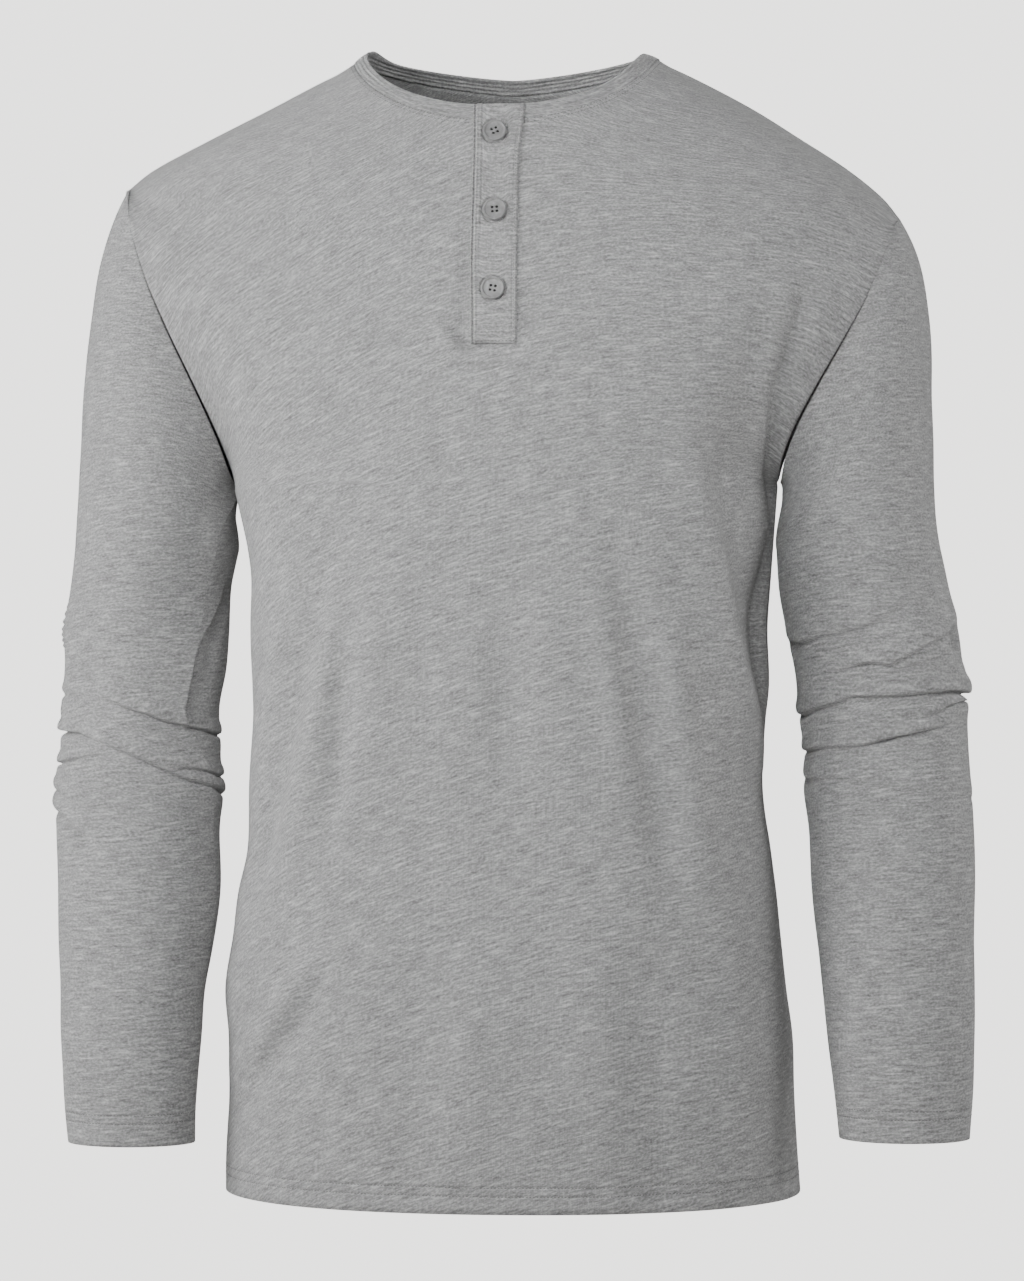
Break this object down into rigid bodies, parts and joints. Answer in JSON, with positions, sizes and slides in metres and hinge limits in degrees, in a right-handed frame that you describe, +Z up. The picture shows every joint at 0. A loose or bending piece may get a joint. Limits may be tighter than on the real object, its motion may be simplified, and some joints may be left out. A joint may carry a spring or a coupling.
{
  "type": "long-sleeve henley shirt",
  "caption": "Worn-shape long-sleeved henley shirt with a narrow neckband, a buttoned placket and set-in sleeves, open at neck, hem and cuffs.",
  "frame": {"origin": "midway between the two high shoulder points, where the shoulder seams meet the neckband", "axes": "+Z up through the neck, -Y is the front of the shirt, +X is the wearer's left"},
  "size_m": [0.5738, 0.247, 0.7095],
  "materials": {
    "jersey": "heather grey slub cotton jersey, matt",
    "button": "grey moulded four-hole buttons, low sheen"
  },
  "bodies": {
    "root": {"front": "jersey", "back": "jersey", "sleeve_right": "jersey", "sleeve_left": "jersey", "neckband": "jersey", "placket_over": "jersey", "placket_under": "jersey", "button_1": "button", "button_2": "button", "button_3": "button"}
  },
  "joints": []
}
